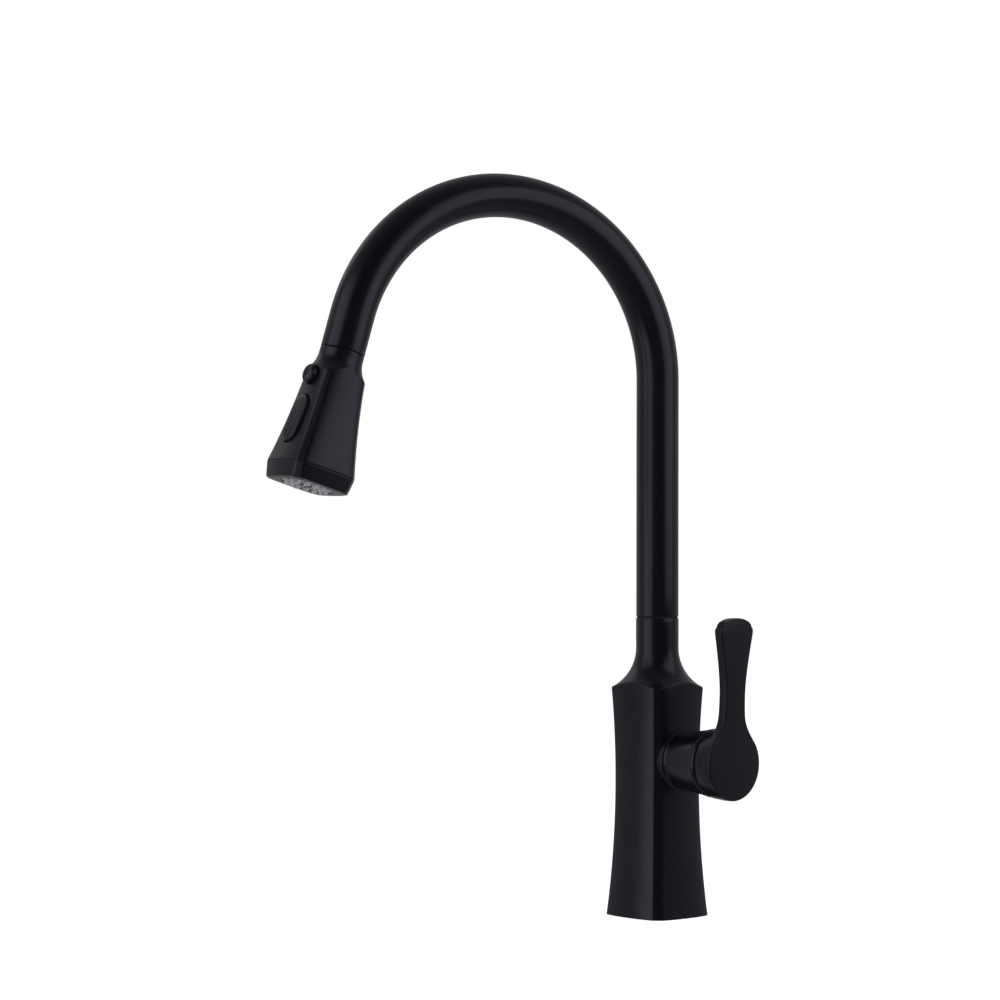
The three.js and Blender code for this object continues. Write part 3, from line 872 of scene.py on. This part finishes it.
@dataclass
class Gooseneck:
    """The spout tube: straight up, round in one arc, and a short straight end at the dock."""

    radius: float = 12.5
    bore: float = 11.3
    foot: float = 175.45
    bend_z: float = 315.3
    bend: float = 102.14
    sweep: float = math.radians(164.18)
    straight: float = 21.9

    def heading(self) -> Vector:
        """The level direction in which the spout points."""
        dock = frame_joint("head_turn")["pos_m"]
        return Vector((dock[0], dock[1], 0)).normalized()

    def place(self, along: float) -> tuple[np.ndarray, np.ndarray]:
        """The centre line's point and direction.

        Args:
            along: distance from the foot, in millimetres.

        Returns:
            The point and the unit direction.
        """
        out = np.array(self.heading())
        up = np.array((0.0, 0.0, 1.0))
        rise = self.bend_z - self.foot
        angle = min(max(along - rise, 0) / self.bend, self.sweep)
        extra = max(along - rise - self.bend * self.sweep, 0)
        radial = self.bend * (1 - math.cos(angle)) + extra * math.sin(angle)
        height = self.foot + min(along, rise) + self.bend * math.sin(angle) + extra * math.cos(angle)
        return out * radial + up * height, out * math.sin(angle) + up * math.cos(angle)

    def length(self) -> float:
        """The whole centre line's length."""
        return self.bend_z - self.foot + self.bend * self.sweep + self.straight

    def ring(self, along: float, radius: float, sides: int) -> np.ndarray:
        """A ring about the centre line."""
        centre, direction = self.place(along)
        aside = np.cross(np.array(self.heading()), (0, 0, 1))
        across = np.cross(direction, aside)
        turn = np.linspace(0, 2 * math.pi, sides, endpoint=False)
        return centre + radius * (np.outer(np.cos(turn), aside) + np.outer(np.sin(turn), across))

    def stations(self) -> np.ndarray:
        """Where the rings go: few on the straight stretches, many round the bend."""
        rise = self.bend_z - self.foot
        bend = rise + np.linspace(0, self.bend * self.sweep, 150)
        end = self.length()
        return np.concatenate([np.linspace(0.6, rise - 4, 12), bend, [end - 8, end - 0.6]])

    def build(self) -> list[bpy.types.Object]:
        """Build the tube's wall."""
        sides = 96
        end = self.length()
        outer = [self.ring(0, self.radius - 0.3, sides), self.ring(0.12, self.radius - 0.08, sides)]
        outer += [self.ring(s, self.radius, sides) for s in self.stations()]
        outer += [self.ring(end - 0.12, self.radius - 0.08, sides), self.ring(end, self.radius - 0.3, sides)]
        inner = [self.ring(s, self.bore, sides) for s in [end, *self.stations()[::-1], 0]]
        tube = lofted("gooseneck", outer + inner, BLACK_COAT, closed=True, crease=50)
        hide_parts("spout_tube")
        slip = turned("slip_ring", sleeve(9.4, 12.1, 174.5, 175.42), RUBBER, 96, 0.1)
        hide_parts("swivel_slip_ring")
        return [tube, slip]


def frame_joint(name: str) -> dict:
    """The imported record's joint of a name."""
    return next(j for j in frame["record"]["behaviour"]["joints"] if j["name"] == name)


# ---- the spray head ----------------------------------------------------------------------------------


@dataclass
class SprayHead:
    """The spray head, in its own frame: z is 0 at the dock seam and falls towards the spray face."""

    belt: float = 68.7
    length: float = 77.7
    lip_half: float = 18.0
    cut: float = 0.18
    bow: float = 1.5
    wall: float = 2.0
    collar: float = 12.5
    collar_end: float = 12.0
    flare_centre: Point = (29.3, 3.0)
    flare: float = 16.8
    pause_depth: float = 18.2
    pause: float = 5.5
    pause_front: float = 18.2
    rocker_depth: float = 44.0
    rocker_size: Point = (14.0, 28.0)
    rocker_lean: float = math.radians(7.8)
    rocker_front: float = 18.9
    section: SquareSection = field(default_factory=lambda: SquareSection(0.45))

    def frame(self) -> Matrix:
        """The head's frame in millimetres, from the joints' axes."""
        turn = frame_joint("head_turn")
        up = Vector(turn["axis"]).normalized()
        aside = Vector(frame_joint("rocker_tilt")["axis"]).normalized()
        ahead = up.cross(aside)
        seat = Vector(turn["pos_m"]) / MM
        return Matrix((*zip(aside, ahead, up, seat), (0, 0, 0, 1)))

    def half(self, depth: float) -> float:
        """Half the head's side at a depth below the seam."""
        return 13.5 + 0.1012 * (depth - 20.8) + 0.00093 * (depth - 20.8) * (depth - 46.5)

    def envelope(self, depth: float) -> float:
        """The round limit that turns the square into the collar."""
        radius, start = self.flare_centre
        if depth <= start:
            return self.collar
        if depth >= start + self.flare - 1e-6:
            return 60.0
        return radius - math.sqrt(self.flare**2 - (depth - start) ** 2)

    def ring(self, depth: float, half: float, bow: float, trim: float = 0.0) -> np.ndarray:
        """One ring of the casing, in the row's frame."""
        turn = self.section.directions(48)
        square = self.section.reach(turn, half, self.cut * half, bow)
        limit = np.full(len(turn), self.envelope(depth))
        floor = np.full(len(turn), self.collar)
        reach = soft_min(square, limit, 0.8)
        if depth < self.collar_end:
            reach = np.maximum(reach, np.minimum(floor, limit))
        return self.placed(polar_ring(reach - trim, turn, -depth))

    def placed(self, points: np.ndarray) -> np.ndarray:
        """Move points from the head's own frame to the row's."""
        return moved(points, self.frame())

    def facing(self, depth: float, distance: float, lean: float = 0.0) -> Matrix:
        """A frame on the front face whose z points outwards.

        Args:
            depth: how far below the seam.
            distance: how far in front of the head's axis.
            lean: how far the face tips forward, in radians.

        Returns:
            The frame, in millimetres.
        """
        outward = Matrix.Rotation(math.pi / 2 - lean, 4, "X")
        return self.frame() @ Matrix.Translation((0, -distance, -depth)) @ outward

    def stadium(self, margin: float, points: int = 40) -> np.ndarray:
        """The rocker's outline, grown by a margin."""
        width, height = self.rocker_size
        radius, reach = width / 2 + margin, (height - width) / 2
        top = [(radius * math.cos(a), reach + radius * math.sin(a)) for a in np.linspace(0, math.pi, points)]
        return np.array(top + [(-x, -y) for x, y in top])

    def shell(self) -> bpy.types.Object:
        """Build the casing with its two openings."""
        depths = [0.4, 0.5, 0.8, *np.arange(1.5, 4, 0.5), *np.arange(4, 20, 0.28), *np.arange(20, 68.6, 1.5)]
        depths += [self.belt - 0.4, self.belt - 0.15, self.belt]
        rings = []
        for depth in depths:
            trim = max(0, 0.7 - depth) ** 2 * 2.4 + max(0, depth - self.belt + 0.4) ** 2 * 1.6
            rings.append(self.ring(depth, self.half(depth), self.bow, trim))
        for depth in [self.belt, 45, 30, 18.5]:
            rings.append(self.ring(depth, self.half(depth) - self.wall, self.bow - 0.5))
        sides = self.section.directions(48)
        for depth in [18.4, 0.4]:
            rings.append(self.placed(polar_ring(np.full(len(sides), 10.2), sides, -depth)))
        shell = lofted("spray_head_casing", rings, BLACK_ABS, closed=True, crease=50)
        carve(shell, turned(
            "pause_cutter", sleeve(0, self.pause + 0.35, -6, 8), BLACK_ABS, 96, 0.0,
            self.facing(self.pause_depth, self.pause_front),
        ))
        carve(shell, slab(
            "rocker_cutter", self.stadium(0.75), -9.4, 6, BLACK_ABS, (0.01, 0.01),
            self.facing(self.rocker_depth, self.rocker_front, self.rocker_lean),
        ))
        dressed(shell, BLACK_ABS, 40)
        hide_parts("head_shell")
        return shell

    def surround(self) -> bpy.types.Object:
        """Build the band below the belt line."""
        rings = []
        top = self.belt + 0.12
        depths = [top, top + 0.1, top + 0.35, *np.linspace(top + 1, self.length - 1, 8)]
        for depth in [*depths, self.length - 0.3, self.length]:
            share = (depth - top) / (self.length - top)
            half = self.half(self.belt) * (1 - share) + self.lip_half * share
            trim = max(0, top + 0.35 - depth) ** 2 * 3 + max(0, depth - self.length + 0.5) ** 2 * 1.6
            rings.append(self.ring(depth, half, 1.3, trim))
        turn = self.section.directions(48)
        for radius, depth in [(14.9, self.length), (14.6, self.length - 0.4), (14.6, top)]:
            rings.append(self.placed(polar_ring(np.full(len(turn), radius), turn, -depth)))
        band = lofted("spray_band", rings, BLACK_ABS, closed=True, crease=40)
        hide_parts("spray_surround")
        return band

    def pause_button(self) -> bpy.types.Object:
        """Build the round push button with its dished face."""
        profile = [
            (0, -9.9), (1.9, -9.9), (1.9, -5.8), (self.pause, -5.8), (self.pause, -0.9),
            (self.pause - 0.9, 0), (3.2, -0.1), (1.6, -0.35), (0, -0.42),
        ]
        button = turned(
            "push_button", profile, BLACK_ABS, 72, 0.35, self.facing(self.pause_depth, self.pause_front),
        )
        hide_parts("pause_button")
        return button

    def rocker(self) -> list[bpy.types.Object]:
        """Build the rocker's pad and its studs."""
        place = self.facing(self.rocker_depth, self.rocker_front, self.rocker_lean)
        pad = slab("rocker_pad", self.stadium(0), -4.2, -0.05, DARK_ABS, (0.3, 1.0), place)
        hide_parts("rocker_button")
        width, height = self.rocker_size
        studs = []
        tree = stud_field_tree()
        pitch, dip = 1.5, 0.22
        for row, (columns, rows) in enumerate([(8, 18), (7, 17)]):
            studs.append(grown(
                f"rocker_studs_{row + 1}", tree,
                {
                    "Width": pitch * (columns - 1) * MM, "Height": pitch * (rows - 1) * MM,
                    "Columns": columns, "Rows": rows, "Stud": 0.42 * MM, "Keep": (width / 2 - pitch) * MM,
                    "Reach": (height - width) / 2 * MM,
                },
                DARK_ABS, place @ Matrix.Translation((0, 0, -dip)),
            ))
        return [pad, *studs]

    def face(self) -> list[bpy.types.Object]:
        """Build the spray face: plate, soft nozzles in two rings and the stream outlet."""
        frame_here = self.frame()
        plate = turned("spray_face", sleeve(5.9, 14.3, -77.4, -75.8), GREY_ABS, 96, 0.3, frame_here)
        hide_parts("spray_face_plate")
        pad = turned("nozzle_mat", sleeve(6.2, 13.4, -75.5, -74.3), GREY_SILICONE, 72, 0.1, frame_here)
        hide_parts("nozzle_pad")
        tree = nozzle_ring_tree()
        down = frame_here @ Matrix.Translation((0, 0, -77.0)) @ Matrix.Rotation(math.pi, 4, "X")
        nozzles = [
            grown(
                f"nozzles_{count}", tree,
                {
                    "Count": count, "Ring Radius": radius * MM, "Height": 2.1 * MM, "Root": 1.3 * MM,
                    "Tip": 0.9 * MM,
                },
                GREY_SILICONE, down,
            )
            for count, radius in ((10, 8.2), (14, 11.6))
        ]
        stream = turned(
            "stream_outlet",
            [(0, -72), (5.4, -72), (5.4, -77.2), (4.7, -77.2), (4.5, -76.2), (0, -76.2)],
            GREY_ABS, 64, 0.15, frame_here,
        )
        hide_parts("stream_insert")
        return [plate, pad, stream, *nozzles]


@dataclass
class DockHose:
    """The stretch of hose that slides out of the spout as the head is pulled."""

    radius: float = 5.0
    low: float = 9.2
    high: float = 23.0

    def build(self, dock: Matrix) -> bpy.types.Object:
        """Build the hose in many short rings."""
        rings = [moved(circle(self.radius, z, 40), dock) for z in np.linspace(self.low, self.high, 90)]
        hose = lofted("dock_hose", rings, BRAID)
        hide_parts("hose_tail")
        return hose


@dataclass
class ButtonSpring:
    """The coil behind the push button, which shortens as the button is pressed."""

    coil: float = 2.6
    wire: float = 0.3
    turns: float = 5.0
    back: float = 5.9
    front: float = 12.0

    def build(self, head: Matrix, depth: float) -> bpy.types.Object:
        """Build the coil on the button's line and stretch it between the head and the button.

        Args:
            head: the spray head's frame, in millimetres.
            depth: the button's depth below the seam.

        Returns:
            The spring.
        """
        along = np.array((0.0, 1.0, 0.0))
        section = np.linspace(0, 2 * math.pi, 10, endpoint=False)
        rings = []
        for share in np.linspace(0, 1, 150):
            turn = share * self.turns * 2 * math.pi
            outward = np.array((math.cos(turn), 0.0, math.sin(turn)))
            centre = self.coil * outward - np.array((0, self.front - share * (self.front - self.back), depth))
            wire = np.outer(np.cos(section), outward) + np.outer(np.sin(section), along)
            rings.append(moved(centre + self.wire * wire, head))
        spring = lofted("button_spring", rings, STEEL)
        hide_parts("pause_spring")
        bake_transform(spring)
        return spring


# ---- pieces kept from the frame --------------------------------------------------------------------

CAD_FINISHES: dict[Finish, tuple[str, ...]] = {
    BLACK_COAT: ("bonnet_dome", "set_screw_plug"),
    BRASS: (
        "mounting_nut", "hot_inlet_fitting", "cold_inlet_fitting", "outlet_fitting", "valve_manifold",
        "cartridge_nut", "cartridge_stem", "spout_foot", "hose_end_fitting", "hose_coupling",
    ),
    STEEL: (
        "deck_washer_steel", "jack_screw_left", "jack_screw_right", "swivel_lock_screw", "dock_magnet",
        "hose_ferrule", "rocker_pin", "stem_pin", "lever_set_screw",
    ),
    COPPER: ("hot_inlet_tail", "cold_inlet_tail", "outlet_tail"),
    RUBBER: (
        "base_gasket", "deck_washer_rubber", "cartridge_gasket", "lower_spout_seal",
        "upper_spout_seal", "coupling_seal",
    ),
    ACETAL: (
        "hose_guide", "lower_swivel_bush", "upper_swivel_bush", "cartridge_body", "cartridge_rotor",
        "dock_insert", "head_waterway", "check_valve", "button_carrier", "diverter_spool",
    ),
    CERAMIC: ("fixed_ceramic_disc", "moving_ceramic_disc"),
    BRAID: ("pull_hose",),
}


def dress_frame() -> None:
    """Give every piece kept from the frame its finish."""
    for finish, names in CAD_FINISHES.items():
        for name in names:
            slots = frame["nodes"][name].data.materials
            slots.clear()
            slots.append(finish.material())


# ---- studio ----------------------------------------------------------------------------------------


@dataclass
class Studio:
    """Camera, floor, backdrop light and three soft boxes."""

    eye: Vector = field(default_factory=lambda: Vector((1.0361, -1.0468, 0.1891)))
    azimuth: float = math.radians(48.34)
    tilt: float = math.radians(2.14)
    roll: float = math.radians(0.2)
    lens: float = 89.3

    def camera(self) -> None:
        """Make the camera."""
        data = bpy.data.cameras.new("camera")
        data.lens, data.sensor_width = self.lens, 36
        data.clip_start, data.clip_end = 0.05, 50
        eye = bpy.data.objects.new("camera", data)
        level = math.cos(self.tilt)
        look = Vector((-math.sin(self.azimuth) * level, math.cos(self.azimuth) * level, math.sin(self.tilt)))
        eye.location = self.eye
        level_view = look.to_track_quat("-Z", "Y").to_matrix().to_4x4()
        eye.rotation_euler = (level_view @ Matrix.Rotation(self.roll, 4, "Z")).to_euler()
        bpy.context.scene.collection.objects.link(eye)
        bpy.context.scene.camera = eye

    def soft_box(
        self, name: str, bearing: float, reach: float, height: float, size: Point, power: float,
    ) -> None:
        """Place one soft box round the faucet.

        Args:
            name: its name.
            bearing: degrees to the right of the camera, seen from the faucet.
            reach: the level distance from the faucet in metres.
            height: the middle's height in metres.
            size: width and height in metres.
            power: watts.
        """
        data = bpy.data.lights.new(name, "AREA")
        data.shape, data.size, data.size_y, data.energy = "RECTANGLE", size[0], size[1], power
        lamp = bpy.data.objects.new(name, data)
        lamp.visible_camera = False
        turn = self.azimuth + math.radians(bearing)
        aim = Vector((-0.02, -0.06, 0.22))
        lamp.location = Vector((math.sin(turn) * reach, -math.cos(turn) * reach, height))
        lamp.rotation_euler = (aim - lamp.location).to_track_quat("-Z", "Y").to_euler()
        bpy.context.scene.collection.objects.link(lamp)

    def world(self) -> None:
        """White to the eye; to the faucet, bright behind it and dim all round."""
        world = bpy.data.worlds.new("studio")
        bpy.context.scene.world = world
        world.use_nodes = True
        tree = world.node_tree
        tree.nodes.clear()
        place = add_node(tree, "ShaderNodeTexCoord").outputs["Generated"]
        behind = add_node(tree, "ShaderNodeVectorMath", {0: place}, operation="DOT_PRODUCT")
        behind.inputs[1].default_value = (-math.sin(self.azimuth), math.cos(self.azimuth), 0.0)
        share = add_node(
            tree, "ShaderNodeMapRange", {"Value": behind.outputs["Value"]},
            From_Min=-0.8, From_Max=0.7, To_Min=0.03, To_Max=0.36,
        )
        rays = add_node(tree, "ShaderNodeLightPath")
        strength = add_node(
            tree, "ShaderNodeMath", {0: share.outputs["Result"], 1: rays.outputs["Is Camera Ray"]},
            operation="MAXIMUM",
        )
        sky = add_node(tree, "ShaderNodeBackground", {"Strength": strength.outputs["Value"]})
        sky.inputs["Color"].default_value = (1, 1, 1, 1)
        add_node(tree, "ShaderNodeOutputWorld", {"Surface": sky.outputs["Background"]})

    def floor(self) -> None:
        """Lay a plain pale floor at the deck's height."""
        mesh = bpy.data.meshes.new("floor")
        size = 6.0
        corners = [(-size, -size, 0), (size, -size, 0), (size, size, 0), (-size, size, 0)]
        mesh.from_pydata(corners, [], [(0, 1, 2, 3)])
        plane = bpy.data.objects.new("floor", mesh)
        bpy.context.scene.collection.objects.link(plane)
        paint = bpy.data.materials.new("pale_floor")
        paint.use_nodes = True
        shader = paint.node_tree.nodes["Principled BSDF"]
        shader.inputs["Base Color"].default_value = linear("f2f2f2")
        shader.inputs["Roughness"].default_value = 0.9
        shader.inputs["Emission Color"].default_value = (1, 1, 1, 1)
        shader.inputs["Emission Strength"].default_value = 0.9
        mesh.materials.append(paint)
        plane.visible_glossy = False

    def build(self) -> None:
        """Set up the whole studio."""
        bpy.context.scene.view_settings.view_transform = "Standard"
        self.camera()
        self.world()
        self.floor()
        self.soft_box("key", -57, 1.5, 0.5, (1.35, 1.7), 6.4)
        self.soft_box("fill", 62, 0.65, 0.49, (0.6, 0.66), 1.0)
        self.soft_box("kicker", -130, 2.2, 1.75, (1.0, 1.0), 1.2)


# ---- assembly --------------------------------------------------------------------------------------


def put(pieces: Iterable[bpy.types.Object], body: str) -> None:
    """Ride pieces on a body and report them."""
    for piece in pieces:
        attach(piece, body)
        LOG.info("%s rides on %s", piece.name, body)


def main() -> None:
    """Build the whole faucet and its studio."""
    logging.basicConfig(level=logging.INFO, format="%(message)s")
    Studio().build()
    dress_frame()
    put(Column().build() + Fixings().build(), "base")
    put(Lever().build(), "lever")
    put(Gooseneck().build(), "spout")
    head = SprayHead()
    put([head.shell(), head.surround(), *head.face()], "spray_head")
    put([head.pause_button()], "pause")
    put(head.rocker(), "rocker")
    ButtonSpring().build(head.frame(), head.pause_depth)
    hose = DockHose()
    tail = hose.build(head.frame())
    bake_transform(tail)


if __name__ == "__main__":
    main()
